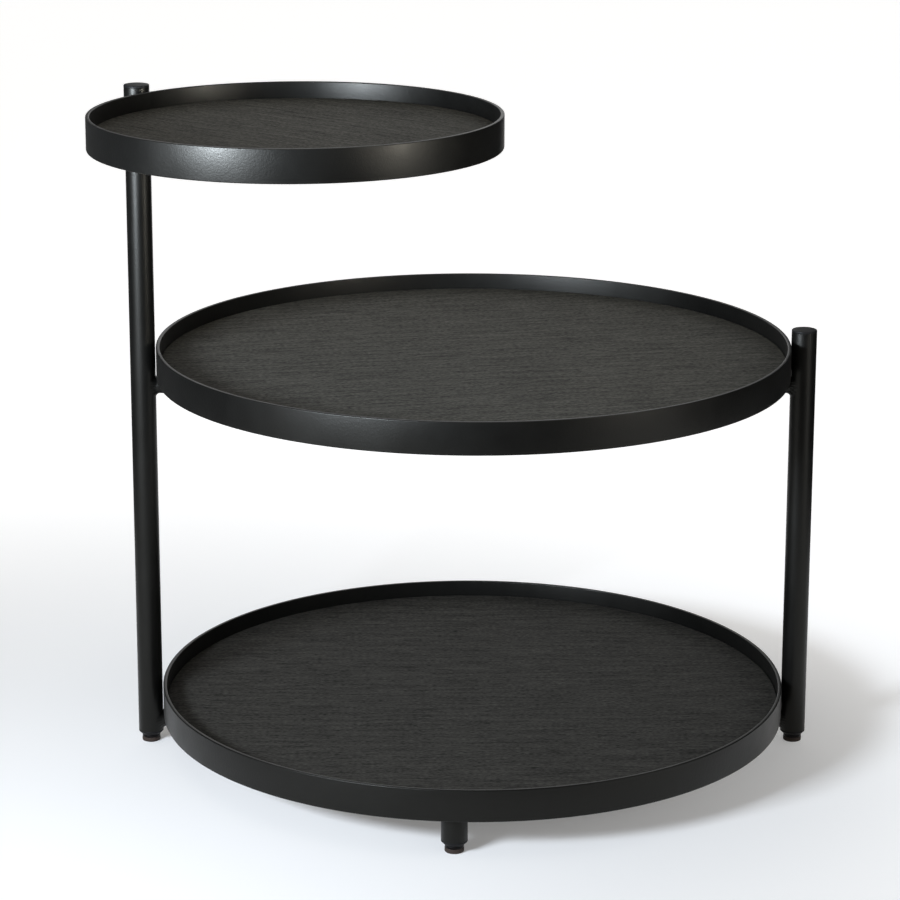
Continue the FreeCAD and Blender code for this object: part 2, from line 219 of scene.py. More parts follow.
@dataclass(frozen=True, kw_only=True)
class Mottled(Finish):
    """A finish whose colour drifts between two tones, under a finer grain that may stand out in relief."""

    tones: Tones
    drift_mm: float
    drift_detail: float = 3.0
    grain_mm: float
    grain_detail: float = 2.0
    grit_mm: float = 0.0
    grit_share: float = 0.0
    relief_mm: float = 0.0
    # The roughness runs between these two, with the grain or else with the drift.
    sheen: Stop
    sheen_drifts: bool = False

    def draw(self, tree: Tree, shader: Node) -> None:
        """Add the pattern nodes and link them to the shader.

        Args:
            tree: The material's node tree.
            shader: Its Principled shader.
        """
        place = add_node(tree, "TexCoord").outputs["Object"]
        patterns = []
        for size, detail in ((self.drift_mm, self.drift_detail), (self.grain_mm, self.grain_detail)):
            sized = {"Vector": place, "Scale": per_metre(size), "Detail": detail}
            patterns.append(add_node(tree, "TexNoise", sized).outputs[0])
        drift, grain = patterns
        dark, pale = map(linear, self.tones)
        colour = add_node(tree, "Mix", {0: drift, 6: dark, 7: pale}, data_type="RGBA")
        low, high = self.sheen
        rough = drift if self.sheen_drifts else grain
        sheen = add_node(tree, "MapRange", {0: rough, 1: NOISE_LOW, 2: NOISE_HIGH, 3: low, 4: high})
        set_inputs(tree, shader, {"Base Color": colour.outputs[2], "Roughness": sheen.outputs[0]})
        if not self.relief_mm:
            return
        height = grain
        if self.grit_share:
            fine = {"Vector": place, "Scale": per_metre(self.grit_mm), "Detail": self.grain_detail}
            grit = add_node(tree, "TexNoise", fine).outputs[0]
            heap = {0: grit, 1: self.grit_share, 2: grain}
            height = add_node(tree, "Math", heap, operation="MULTIPLY_ADD").outputs[0]
        bump = add_node(tree, "Bump", {"Strength": 1.0, "Distance": self.relief_mm * MM, "Height": height})
        set_inputs(tree, shader, {"Normal": bump.outputs[0]})


@dataclass(frozen=True, kw_only=True)
class PowderCoat(Mottled):
    """Satin black polyester powder, sprayed and baked on steel.

    It flows out to a faint orange peel, so highlights are broad and a little broken, and thicker and thinner
    coat shifts the sheen slowly along a piece.
    """

    tones: Tones = ("#040404", "#080807")
    tint: str = "#fffdf4"
    gloss: float = 0.24
    sheen: Stop = (0.35, 0.43)
    sheen_drifts: bool = True
    drift_mm: float = 38.0
    # The grain is the orange peel.
    grain_mm: float = 2.0
    grain_detail: float = 1.0
    # Real grit is about 0.4 mm across, under half a pixel here, so it is drawn coarser.
    grit_mm: float = 1.0
    grit_share: float = 0.5
    relief_mm: float = 0.06


@dataclass(frozen=True, kw_only=True)
class Moulding(Mottled):
    """Plastic moulded in a spark-eroded tool: a fine grain that scatters light, with faint flow marks."""

    tones: Tones = ("#101010", "#161617")
    ior: float = 1.53
    gloss: float = 0.12
    sheen: Stop = (0.46, 0.58)
    drift_mm: float = 9.0
    # Real spark grain is finer. It is drawn coarser, so that it shows in close views.
    grain_mm: float = 0.45
    relief_mm: float = 0.02


@dataclass(frozen=True, kw_only=True)
class BlackZinc(Mottled):
    """Steel, zinc plated and passivated black: a dark metal sheen, blue to brown in patches."""

    tones: Tones = ("#1a1b1e", "#211e1b")
    metallic: float = 1.0
    sheen: Stop = (0.3, 0.44)
    drift_mm: float = 2.2
    # The plate's real grain is finer. It is drawn coarser, so that it shows in close views.
    grain_mm: float = 0.4


@dataclass(frozen=True, kw_only=True)
class StainedVeneer(Finish):
    """Sliced oak, stained black and sealed with matt lacquer.

    Open pores draw short dark dashes along the grain between paler streaks, and the growth bands drift slowly
    across the leaf. The lacquer leaves only a dull sheen.
    """

    tones: Tones
    turn: float
    leaf: Corner
    pore: str = "#0c0c0b"
    gloss: float = 0.025
    sheen: Stop = (0.56, 0.68)
    streak_width_mm: float = 1.1
    streak_length_mm: float = 3.4
    # Real pores are about 0.3 mm wide, which is under half a pixel here, so they are drawn wider.
    pore_width_mm: float = 0.8
    pore_length_mm: float = 11.0
    pore_depth_mm: float = 0.05
    band_width_mm: float = 5.0
    band_length_mm: float = 60.0
    wander_mm: float = 70.0
    wander_reach_mm: float = 9.0
    # How much the bands weigh beside the streaks, and between which sums the wood goes from dark to pale.
    band_share: float = 0.45
    tone_range: Stop = (0.52, 0.94)
    # Between which values of their pattern the pores deepen, and how dark their dashes get.
    pore_range: Stop = (0.53, 0.66)
    pore_strength: float = 0.7

    def draw(self, tree: Tree, shader: Node) -> None:
        """Add the pattern nodes and link them to the shader.

        Args:
            tree: The material's node tree.
            shader: Its Principled shader.
        """
        flat = add_node(tree, "TexCoord").outputs["Object"]
        laid = {"Vector": flat, "Rotation": (0.0, 0.0, -self.turn), "Location": Vector(self.leaf) * MM}
        place = add_node(tree, "Mapping", laid).outputs[0]
        slow = {"Vector": place, "Scale": per_metre(self.wander_mm), "Detail": 1.0}
        wander = add_node(tree, "TexNoise", slow).outputs["Color"]
        sway = {0: wander, 1: (0.0, self.wander_reach_mm * MM, 0.0), 2: place}
        drift = add_node(tree, "VectorMath", sway, operation="MULTIPLY_ADD").outputs[0]
        patterns = []
        for width, length, detail in (
            (self.streak_width_mm, self.streak_length_mm, 4.0),
            (self.pore_width_mm, self.pore_length_mm, 2.0),
            (self.band_width_mm, self.band_length_mm, 4.0),
        ):
            scale = (per_metre(length), per_metre(width), per_metre(width))
            stretch = add_node(tree, "VectorMath", {0: drift, 1: scale}, operation="MULTIPLY")
            noise = add_node(tree, "TexNoise", {"Vector": stretch.outputs[0], "Scale": 1.0, "Detail": detail})
            patterns.append(noise.outputs[0])
        streak, pore, band = patterns
        tone = add_node(tree, "Math", {0: band, 1: self.band_share, 2: streak}, operation="MULTIPLY_ADD")
        low, high = self.tone_range
        share = add_node(tree, "MapRange", {0: tone.outputs[0], 1: low, 2: high, 3: 0.0, 4: 1.0}).outputs[0]
        low, high = self.pore_range
        deep = {0: pore, 1: low, 2: high, 3: 0.0, 4: self.pore_strength}
        dash = add_node(tree, "MapRange", deep).outputs[0]
        dark, pale = map(linear, self.tones)
        wood = add_node(tree, "Mix", {0: share, 6: dark, 7: pale}, data_type="RGBA").outputs[2]
        colour = add_node(tree, "Mix", {0: dash, 6: wood, 7: linear(self.pore)}, data_type="RGBA")
        low, high = self.sheen
        sheen = add_node(tree, "MapRange", {0: share, 1: 0.0, 2: 1.0, 3: high, 4: low})
        sunk = {"Strength": 1.0, "Distance": self.pore_depth_mm * MM, "Height": dash}
        bump = add_node(tree, "Bump", sunk, invert=True)
        drawn = {"Base Color": colour.outputs[2], "Roughness": sheen.outputs[0], "Normal": bump.outputs[0]}
        set_inputs(tree, shader, drawn)


STEEL = PowderCoat(name="satin_black_powder_coated_steel", slot=Slot.STEEL)
NYLON = Moulding(name="moulded_black_nylon", slot=Slot.NYLON)
ZINC = BlackZinc(name="black_passivated_zinc_plate", slot=Slot.ZINC)
BROWN = ("#2a2420", "#362d28")
PAD = Moulding(name="moulded_brown_polyethylene", slot=Slot.PAD, tones=BROWN, sheen=(0.5, 0.64))


def even_turns(count: int) -> list[float]:
    """Return this many angles, evenly spaced round a full turn."""
    return [FULL_TURN * at / count for at in range(count)]


def round_corners(corners: Sequence[Corner], closing: Closing, steps: int = 5) -> list[Stop]:
    """Replace the corners of an outline by arcs.

    Args:
        corners: Radius, height and rounding of each corner, in millimetres.
        closing: Whether the outline is closed, or open with its ends on the axis.
        steps: Straight runs in each arc.

    Returns:
        Radius and height of each point of the rounded outline.
    """
    points: list[Stop] = []
    count = len(corners)
    for at, (x, y, rounding) in enumerate(corners):
        here = Vector((x, y))
        if rounding == 0 or (closing is Closing.POLES and at in (0, count - 1)):
            points.append((x, y))
            continue
        to_last = (Vector(corners[at - 1][:2]) - here).normalized()
        to_next = (Vector(corners[(at + 1) % count][:2]) - here).normalized()
        half = to_last.angle(to_next) / 2
        reach = rounding / math.tan(half)
        middle = here + (to_last + to_next).normalized() * rounding / math.sin(half)
        first = here + to_last * reach - middle
        last = here + to_next * reach - middle
        sweep = math.atan2(first.x * last.y - first.y * last.x, first.dot(last))
        for step in range(steps + 1):
            spot = middle + Matrix.Rotation(sweep * step / steps, 2) @ first
            points.append((spot.x, spot.y))
    return points


def turn_outline(outline: Sequence[Stop], turns: Turns) -> list[Row]:
    """Turn an outline about the upright axis.

    Args:
        outline: Radius and height of each point, in millimetres.
        turns: The angles of its copies.

    Returns:
        A row of points for each point of the outline, or one point where it is on the axis.
    """
    rows = []
    for radius, height in outline:
        ring = [Vector((radius * math.cos(t), radius * math.sin(t), height)) for t in turns]
        rows.append(ring if radius else [Vector((0, 0, height))])
    return rows


@dataclass
class Shape:
    """Corners and faces of a mesh, in millimetres."""

    corners: list[Vector] = field(default_factory=list)
    faces: list[tuple[int, ...]] = field(default_factory=list)

    def net(self, rows: Sequence[Sequence[Vector]], wrap_rows: bool = False) -> None:
        """Add rows of points, each a loop, joined by four-sided faces. A row of one point is a pole.

        Args:
            rows: The points, row by row.
            wrap_rows: Whether the last row joins the first.
        """
        starts = []
        for row in rows:
            starts.append(len(self.corners))
            self.corners.extend(row)
        for one in range(len(rows) - (0 if wrap_rows else 1)):
            two = (one + 1) % len(rows)
            a, b = starts[one], starts[two]
            wide, deep = len(rows[one]), len(rows[two])
            count = max(wide, deep)
            for at in range(count):
                after = (at + 1) % count
                if wide == 1:
                    self.faces.append((a, b + after, b + at))
                elif deep == 1:
                    self.faces.append((a + at, a + after, b))
                else:
                    self.faces.append((a + at, a + after, b + after, b + at))

    def lathe(self, corners: Sequence[Corner], closing: Closing, turns: Turns) -> None:
        """Round the corners of an outline and turn it about the upright axis.

        Args:
            corners: Radius, height and rounding of each corner.
            closing: Whether the outline is closed, or ends on the axis.
            turns: The angles of its copies.
        """
        rows = turn_outline(round_corners(corners, closing), turns)
        self.net(rows, wrap_rows=closing is Closing.RING)

    def bead(self, path: Sequence[Vector], width: float, closed: bool) -> None:
        """Lay a weld bead along a path, with the ripples that the puddle leaves.

        Args:
            path: Points along the middle of the bead.
            width: Half the bead's width.
            closed: Whether the path is a loop.
        """
        sides = 12
        # The ripples' height beside the width, how far their middles lead, and how blunt the ends are.
        swell, lead, blunt = 0.09, 1.2, 0.25
        # Below this the path is too nearly upright to take its side from the vertical.
        upright = 0.2
        count = len(path)
        rows = []
        for at, spot in enumerate(path):
            before = path[at - 1] if closed or at else spot
            after = path[(at + 1) % count] if closed or at + 1 < count else spot
            along = (after - before).normalized()
            side = along.cross(Vector((0, 0, 1)))
            if side.length <= upright:
                side = along.cross(Vector((1, 0, 0)))
            side.normalize()
            up = side.cross(along).normalized()
            end = 1.0 if closed else min(1.0, math.sqrt((min(at, count - 1 - at) + blunt) / WELD_RIPPLE))
            row = []
            for turn in even_turns(sides):
                phase = FULL_TURN * at / WELD_RIPPLE + lead * math.cos(turn)
                reach = width * end * (1 + swell * math.sin(phase))
                row.append(spot + side * reach * math.cos(turn) + up * reach * math.sin(turn))
            rows.append(row)
        self.net(rows, wrap_rows=closed)
        if not closed:
            for row in (rows[0], rows[-1]):
                start = len(self.corners)
                self.corners.extend(row)
                self.faces.append(tuple(range(start, start + sides)))

    def bevel(self, width: float) -> None:
        """Round the sharp edges.

        Args:
            width: The rounding, in millimetres.
        """
        work = self.to_bmesh()
        sharp = [edge for edge in work.edges if edge.calc_face_angle(0.0) > SHARP_ANGLE]
        bmesh.ops.bevel(work, geom=sharp, offset=width, segments=3, profile=0.5, affect="EDGES")
        work.verts.index_update()
        self.corners = [vert.co.copy() for vert in work.verts]
        self.faces = [tuple(vert.index for vert in face.verts) for face in work.faces]
        work.free()

    def to_bmesh(self) -> bmesh.types.BMesh:
        """Give the shape as an editable mesh, with doubled points joined and its faces turned outward.

        Returns:
            The mesh, which the caller frees.
        """
        work = bmesh.new()
        verts = [work.verts.new(corner) for corner in self.corners]
        for face in self.faces:
            work.faces.new([verts[at] for at in face])
        bmesh.ops.remove_doubles(work, verts=work.verts, dist=JOIN_DISTANCE)
        bmesh.ops.recalc_face_normals(work, faces=work.faces)
        return work


@dataclass(frozen=True)
class Piece:
    """How a finished shape joins the frame."""

    name: str
    finish: Finish
    body: str = FRAME_BODY
    stands_for: tuple[str, ...] = ()

    def make(self, shape: Shape, place: Corner, turn: float = 0.0) -> None:
        """Make the object, dress it and let it ride on its body.

        Args:
            shape: Its mesh, in millimetres about its own origin.
            place: Where that origin is, in millimetres.
            turn: Its turn about the upright, in radians.
        """
        work = shape.to_bmesh()
        work.transform(Matrix.Rotation(turn, 4, "Z") @ Matrix.Scale(MM, 4))
        mesh = bpy.data.meshes.new(self.name)
        work.to_mesh(mesh)
        work.free()
        mesh.polygons.foreach_set("use_smooth", [True] * len(mesh.polygons))
        mesh.set_sharp_from_angle(angle=SHARP_ANGLE)
        mesh.materials.append(self.finish.material())
        item = add_object(self.name, mesh)
        item.location = Vector(place) * MM
        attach(item, self.body)
        if self.stands_for:
            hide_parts(*self.stands_for)
        LOG.info("%s: %d faces of %s", self.name, len(mesh.polygons), self.finish.name)


def dress(frame: dict, node: str, finish: Finish) -> None:
    """Give a node of the frame its finish.

    Args:
        node: The node's name.
        finish: Its finish.
    """
    mesh = frame["nodes"][node].data
    mesh.materials.clear()
    mesh.materials.append(finish.material())
    LOG.info("%s: dressed in %s", node, finish.name)


@dataclass(frozen=True)
class Spot:
    """A place seen from above, in millimetres."""

    x: float
    y: float

    def away(self, distance: float, turn: float) -> "Spot":
        """Return the spot at a distance, in a direction given in radians from +X."""
        return Spot(self.x + distance * math.cos(turn), self.y + distance * math.sin(turn))

    def at(self, level: float) -> Corner:
        """Return the place above the spot at a level."""
        return (self.x, self.y, level)


@dataclass
class Tray:
    """A steel hoop with a ledge, and a veneered board that lies on the ledge."""

    name: str
    centre: Spot
    level: float
    radius: float
    grain_turn: float
    seam_turn: float
    welds: int
    # The board's dark and pale tones: its stain, which the bottom tray darkens with painted shade.
    stain_and_painted_shade: Tones = ("#272623", "#55534c")
    wall: float = 3.0
    height: float = 25.0
    edge_round: float = 0.8
    foot_round: float = 0.2
    hoop_steps: int = 264
    seam_half: float = 2.4
    seam_height: float = 0.12
    seam_points: int = 12
    ledge: float = 2.0
    board: float = 10.0
    board_gap: float = 0.4
    board_round: float = 0.5
    board_rings: int = 9
    board_steps: int = 192
    # Each board takes another part of the leaf, further on by these times its level.
    leaf_shift: Corner = (3.1, 0.7, 0.0)
    weld_length: float = 18.0
    weld_width: float = 1.3
    weld_rise: float = 0.9
    weld_offset: float = FULL_TURN / 32

    def build(self, frame: dict) -> None:
        """Build the hoop, its seam, the board and the ledge's welds, and dress the ledge and screws.
        """
        self.build_hoop()
        self.build_board()
        self.build_welds()
        dress(frame, f"{self.name}_tray_ledge", STEEL)
        dress(frame, f"{self.name}_rim_screws", ZINC)

    def build_hoop(self) -> None:
        """Flat bar rolled to a hoop, with the low swell of its ground butt weld."""
        inner = self.radius - self.wall
        span = range(-self.seam_points, self.seam_points + 1)
        beside = [at * self.seam_half / 4 / self.radius for at in span]
        plain = [t for t in even_turns(self.hoop_steps) if min(t, FULL_TURN - t) > beside[-1] * 1.2]
        shape = Shape()
        shape.lathe(
            [
                (inner, 0.0, self.foot_round),
                (self.radius, 0.0, self.edge_round),
                (self.radius, self.height, self.edge_round),
                (inner, self.height, self.edge_round),
            ],
            Closing.RING,
            sorted(t % FULL_TURN for t in plain + beside),
        )
        middle = self.radius - self.wall / 2
        for corner in shape.corners:
            off = math.atan2(corner.y, corner.x) * self.radius / self.seam_half
            reach = math.hypot(corner.x, corner.y)
            lift = self.seam_height * math.exp(-off * off) * (reach - middle) / (self.wall / 2)
            corner.x *= 1 + lift / reach
            corner.y *= 1 + lift / reach
        piece = Piece(f"{self.name}_hoop", STEEL, stands_for=(f"{self.name}_tray_rim",))
        piece.make(shape, self.centre.at(self.level), self.seam_turn)

    def build_board(self) -> None:
        """A round veneered board with eased edges."""
        reach = self.radius - self.wall - self.board_gap
        spread = [reach * at / self.board_rings for at in range(1, self.board_rings)]
        corners = [(r, self.board, 0.0) for r in (0.0, *spread)]
        corners += [(reach, self.board, self.board_round), (reach, 0.0, self.board_round)]
        corners += [(r, 0.0, 0.0) for r in (*reversed(spread), 0.0)]
        shape = Shape()
        shape.lathe(corners, Closing.POLES, even_turns(self.board_steps))
        veneer = StainedVeneer(
            name=f"black_stained_sliced_oak_{self.name}_leaf",
            slot=Slot.VENEER,
            tones=self.stain_and_painted_shade,
            turn=self.grain_turn,
            leaf=tuple(shift * self.level for shift in self.leaf_shift),
        )
        piece = Piece(f"{self.name}_veneered_board", veneer, stands_for=(f"{self.name}_tray_board",))
        piece.make(shape, self.centre.at(self.level + self.ledge))

    def build_welds(self) -> None:
        """Short welds under the seam between hoop and ledge."""
        inner = self.radius - self.wall
        count = round(self.weld_length / WELD_STEP)
        shape = Shape()
        for first in even_turns(self.welds):
            path = []
            for at in range(count + 1):
                turn = first + (at - count / 2) * WELD_STEP / inner
                path.append(Vector((inner * math.cos(turn), inner * math.sin(turn), self.weld_rise)))
            shape.bead(path, self.weld_width, closed=False)
        piece = Piece(f"{self.name}_ledge_welds", STEEL)
        piece.make(shape, self.centre.at(self.level), self.seam_turn + self.weld_offset)


@dataclass
class Foot:
    """A moulded plug in a tube's end, a threaded stud and a pad that turns on the stud's head."""

    name: str
    place: Spot
    pad_radius: float = 7.3
    pad_height: float = 3.6
    pad_sole: float = 1.0
    ring_radius: float = 5.0
    ring_half: float = 0.6
    ring_floor_half: float = 0.3
    ring_depth: float = 0.3
    head_radius: float = 5.0
    head_height: float = 1.6
    collar_radius: float = 7.2
    collar_height: float = 2.2
    stud_radius: float = 4.0
    stud_length: float = 14.0
    pitch: float = 1.25
    thread_depth: float = 0.72
    # How flat the thread's crest is, how steep its flanks are, and how much of it is left at the tip.
    crest: float = 1.35
    flank: float = 3.1
    tip_share: float = 0.2
    flange_radius: float = 10.0
    flange_height: float = 3.7
    flange_bevel: float = 2.6
    plug_radius: float = 8.4
    plug_length: float = 10.0
    gap: float = 0.1
    moulded_steps: int = 64
    stud_steps: int = 48
    rows_per_pitch: int = 10

    def build(self) -> None:
        """Build the plug, the stud and the pad."""
        self.build_plug()
        self.build_stud()
        self.build_pad()

    def build_plug(self) -> None:
        """The push-in plug, with eased moulded edges."""
        bore = self.stud_radius + self.gap
        top = self.flange_height + self.plug_length
        shape = Shape()
        shape.lathe(
            [
                (bore, 0.0, 0.2),
                (self.flange_radius - self.flange_bevel, 0.0, 0.3),
                (self.flange_radius, self.flange_bevel, 0.5),
                (self.flange_radius, self.flange_height, 0.25),
                (self.plug_radius, self.flange_height, 0.0),
                (self.plug_radius, top, 0.5),
                (bore, top, 0.2),
            ],
            Closing.RING,
            even_turns(self.moulded_steps),
        )
        piece = Piece(f"{self.name}_foot_plug", NYLON, stands_for=(f"{self.name}_foot_insert",))
        piece.make(shape, self.place.at(self.pad_height + self.collar_height))

    def build_stud(self) -> None:
        """The stud: a head in the pad, a collar and a right-hand thread."""
        foot = self.pad_height + self.collar_height
        neck = self.pad_sole + self.head_height
        lower = round_corners(
            [
                (0.0, self.pad_sole, 0.0),
                (self.head_radius, self.pad_sole, 0.2),
                (self.head_radius, neck, 0.2),
                (self.stud_radius, neck, 0.0),
                (self.stud_radius, self.pad_height, 0.0),
                (self.collar_radius, self.pad_height, 0.3),
                (self.collar_radius, foot, 0.4),
                (self.stud_radius - self.thread_depth, foot, 0.0),
                (0.0, foot, 0.0),
            ],
            Closing.POLES,
        )[:-1]
        turns = even_turns(self.stud_steps)
        rows = turn_outline(lower, turns)
        count = round(self.stud_length / self.pitch * self.rows_per_pitch)
        for at in range(1, count + 1):
            rise = self.stud_length * at / count
            run_in = min(1.0, rise / self.pitch)
            tip = min(1.0, (self.stud_length - rise) / self.pitch + self.tip_share)
            row = []
            for t in turns:
                share = (rise / self.pitch - t / FULL_TURN) % 1.0
                ridge = min(1.0, max(0.0, self.crest - abs(share - 0.5) * self.flank))
                reach = self.stud_radius - self.thread_depth * (1 - ridge * run_in * tip)
                row.append(Vector((reach * math.cos(t), reach * math.sin(t), foot + rise)))
            rows.append(row)
        rows.append([Vector((0, 0, foot + self.stud_length))])
        shape = Shape()
        shape.net(rows)
        piece = Piece(f"{self.name}_threaded_stud", ZINC, f"{self.name}_stud", (f"{self.name}_foot_stud",))
        piece.make(shape, self.place.at(0.0))

    def build_pad(self) -> None:
        """The pad, hollow for the stud's head, with a shallow ring in its sole."""
        hollow = self.head_radius + self.gap
        ceiling = self.pad_sole + self.head_height + self.gap
        mouth = self.stud_radius + self.gap
        shape = Shape()
        shape.lathe(
            [
                (0.0, 0.0, 0.0),
                (self.ring_radius - self.ring_half, 0.0, 0.15),
                (self.ring_radius - self.ring_floor_half, self.ring_depth, 0.0),
                (self.ring_radius + self.ring_floor_half, self.ring_depth, 0.0),
                (self.ring_radius + self.ring_half, 0.0, 0.15),
                (self.pad_radius, 0.0, 0.8),
                (self.pad_radius, self.pad_height, 0.5),
                (mouth, self.pad_height, 0.15),
                (mouth, ceiling, 0.0),
                (hollow, ceiling, 0.0),
                (hollow, self.pad_sole, 0.0),
                (0.0, self.pad_sole, 0.0),
            ],
            Closing.POLES,
            even_turns(self.moulded_steps),
        )
        piece = Piece(f"{self.name}_glide_pad", PAD, f"{self.name}_pad", (f"{self.name}_foot_pad",))
        piece.make(shape, self.place.at(0.0))


@dataclass
class Upright:
    """A post or leg of round tube on its foot, with a push-in cap where its top shows."""

    name: str
    place: Spot
    top: float
    capped: bool
    radius: float = 10.0
    wall: float = 1.5
    foot_level: float = 9.5
    end_round: float = 0.3
    cap_flange: float = 2.0
    cap_dome: float = 0.2
    cap_round: float = 0.9
    plug_gap: float = 0.1
    plug_length: float = 12.0
    plug_shell: float = 2.0
    steps: int = 72

    def build(self) -> None:
        """Build the tube, its foot and its cap."""
        height = self.top - self.foot_level - (self.cap_flange if self.capped else 0.0)
        inner = self.radius - self.wall
        shape = Shape()
        shape.lathe(
            [
                (inner, 0.0, self.end_round),
                (self.radius, 0.0, self.end_round),
                (self.radius, height, self.end_round),
                (inner, height, self.end_round),
            ],
            Closing.RING,
            even_turns(self.steps),
        )
        piece = Piece(f"{self.name}_tube", STEEL, stands_for=(self.name,))
        piece.make(shape, self.place.at(self.foot_level))
        Foot(self.name, self.place).build()
        if self.capped:
            self.build_cap()

    def build_cap(self) -> None:
        """The cap: a hollow plug under a slightly domed flange."""
        plug = self.radius - self.wall - self.plug_gap
        shape = Shape()
        shape.lathe(
            [
                (0.0, -self.plug_shell, 0.0),
                (plug - self.plug_shell, -self.plug_shell, 0.0),
                (plug - self.plug_shell, -self.plug_length, 0.3),
                (plug, -self.plug_length, 0.4),
                (plug, 0.0, 0.0),
                (self.radius, 0.0, 0.3),
                (self.radius, self.cap_flange - self.cap_dome, self.cap_round),
                (self.radius / 2, self.cap_flange - self.cap_dome / 4, 0.0),
                (0.0, self.cap_flange, 0.0),
            ],
            Closing.POLES,
            even_turns(self.steps),
        )
        piece = Piece(f"{self.name}_end_cap", NYLON, stands_for=(f"{self.name}_cap",))
        piece.make(shape, self.place.at(self.top - self.cap_flange))


@dataclass
class Bar:
    """A round bar under a tray, welded to the tubes at its ends."""

    name: str
    start: Spot
    turn: float
    level: float
    length: float
    welded_start: bool
    welded_end: bool
    cross_start: bool = False
    radius: float = 6.0
    tube_radius: float = 10.0
    fillet: float = 3.0
    fillet_steps: int = 8
    ripples: int = 20
    ripple_height: float = 0.14
    # How far the ripples turn from the tube to the bar.
    ripple_lean: float = 1.4 * math.pi
    end_bevel: float = 1.5
    bead_width: float = 1.4
    steps: int = 120

    def build(self) -> None:
        """Build the bar with its weld fillets, and a bead where it meets a crossing bar."""
        turns = even_turns(self.steps)
        rows = self.end_rows(turns, self.welded_start, 1.0, 0.0)
        rows += list(reversed(self.end_rows(turns, self.welded_end, -1.0, self.length)))
        shape = Shape()
        shape.net(rows)
        if self.cross_start:
            r = self.radius
            path = [Vector((r * abs(math.cos(t)), r * math.cos(t), r * math.sin(t))) for t in turns]
            shape.bead(path, self.bead_width, closed=True)
        piece = Piece(f"{self.name}_welded", STEEL, stands_for=(self.name,))
        piece.make(shape, self.start.at(self.level), self.turn)

    def end_rows(self, turns: Turns, welded: bool, sign: float, offset: float) -> list[Row]:
        """Rows of points of one end, from its middle to the plain bar.

        Args:
            turns: Angles round the bar.
            welded: Whether a fillet flares on to a tube there.
            sign: The way from the end to the bar's middle, along the bar.
            offset: Where the tube's axis or the bar's end is, along the bar.

        Returns:
            The rows.
        """
        if not welded:
            face = self.radius - self.end_bevel
            ends = ((0.0, 0.0), (face, 0.0), (self.radius, self.end_bevel))
            return [self.ring(turns, reach, [offset + sign * run] * len(turns)) for reach, run in ends]
        widest = self.radius + self.fillet
        rows = [self.flush_row(turns, widest * share, 0.0, sign, offset) for share in (0.0, 0.35, 0.7)]
        for at in range(self.fillet_steps + 1):
            part = at / self.fillet_steps
            lean = math.pi / 2 * (1 - part)
            rise = self.fillet * (1 - math.cos(lean))
            run = self.fillet * (1 - math.sin(lean))
            swell = self.ripple_height * math.sin(math.pi * part)
            ring = self.flush_row(turns, self.radius + rise, run, sign, offset)
            for t, corner in zip(turns, ring):
                lift = swell * math.sin(self.ripples * t + self.ripple_lean * part)
                corner += Vector((0, math.cos(t), math.sin(t))) * lift
            rows.append(ring)
        return rows

    def flush_row(self, turns: Turns, reach: float, run: float, sign: float, offset: float) -> Row:
        """A row that follows the tube's wall at a distance.

        Args:
            turns: Angles round the bar.
            reach: The row's radius about the bar's axis.
            run: Its distance from the tube's wall.
            sign: The way from the tube to the bar's middle.
            offset: Where the tube's axis is, along the bar.

        Returns:
            The points.
        """
        walls = [math.sqrt(self.tube_radius**2 - (reach * math.cos(t)) ** 2) for t in turns]
        return self.ring(turns, reach, [offset + sign * (wall + run) for wall in walls])

    def ring(self, turns: Turns, reach: float, along: Sequence[float]) -> Row:
        """Points round the bar's axis, or one pole where they have no reach.

        Args:
            turns: Angles round the bar.
            reach: The points' distance from its axis.
            along: Where each point is, along the bar.

        Returns:
            The points.
        """
        if reach == 0:
            return [Vector((along[0], 0, 0))]
        return [Vector((a, reach * math.cos(t), reach * math.sin(t))) for t, a in zip(turns, along)]


@dataclass
class Saddle:
    """A steel block that straddles a bar and carries a tray."""

    name: str
    place: Spot
    level: float
    turn: float
    length: float = 20.0
    width: float = 24.0
    drop: float = 12.0
    groove: float = 6.05
    groove_steps: int = 16
    edge: float = 0.6
    weld_length: float = 15.0
    weld_width: float = 1.2
    weld_gap: float = 0.2

    def build(self) -> None:
        """Build the block with rounded edges, and the two welds along the bar."""
        side = self.width / 2
        arc = [math.pi * at / self.groove_steps for at in range(self.groove_steps + 1)]
        outline = [(-self.groove * math.cos(t), self.groove * math.sin(t)) for t in arc]
        outline += [(side, 0.0), (side, self.drop), (-side, self.drop), (-side, 0.0)]
        half = self.length / 2
        count = len(outline)
        shape = Shape()
        for x in (-half, half):
            shape.corners += [Vector((x, y, z - self.drop)) for y, z in outline]
        shape.faces += [(k, (k + 1) % count, count + (k + 1) % count, count + k) for k in range(count)]
        shape.faces += [tuple(range(count)), tuple(range(count, 2 * count))]
        shape.bevel(self.edge)
        runs = round(self.weld_length / WELD_STEP)
        for across in (-1, 1):
            beside = across * (self.groove + self.weld_gap)
            path = [Vector(((at - runs / 2) * WELD_STEP, beside, -self.drop)) for at in range(runs + 1)]
            shape.bead(path, self.weld_width, closed=False)
        piece = Piece(f"{self.name}_block", STEEL, stands_for=(self.name,))
        piece.make(shape, self.place.at(self.level), self.turn)


@dataclass(frozen=True)
class Softbox:
    """A soft lamp of the studio, with its sizes in metres and its spread in degrees."""

    name: str
    place: Corner
    aim: Corner
    width: float
    height: float
    watts: float
    colour: str
    spread: float = 180.0

    def build(self) -> None:
        """Add the lamp, turned to what it lights and unseen by the camera."""
        data = bpy.data.lights.new(self.name, "AREA")
        data.shape = "RECTANGLE"
        data.size = self.width
        data.size_y = self.height
        data.energy = self.watts
        data.spread = math.radians(self.spread)
        data.color = linear(self.colour)[:3]
        lamp = add_object(self.name, data)
        lamp.location = self.place
        away = Vector(self.aim) - Vector(self.place)
        lamp.rotation_mode = "QUATERNION"
        lamp.rotation_quaternion = away.to_track_quat("-Z", "Y")
        lamp.visible_camera = False
        LOG.info("%s: %.1f W", self.name, self.watts)


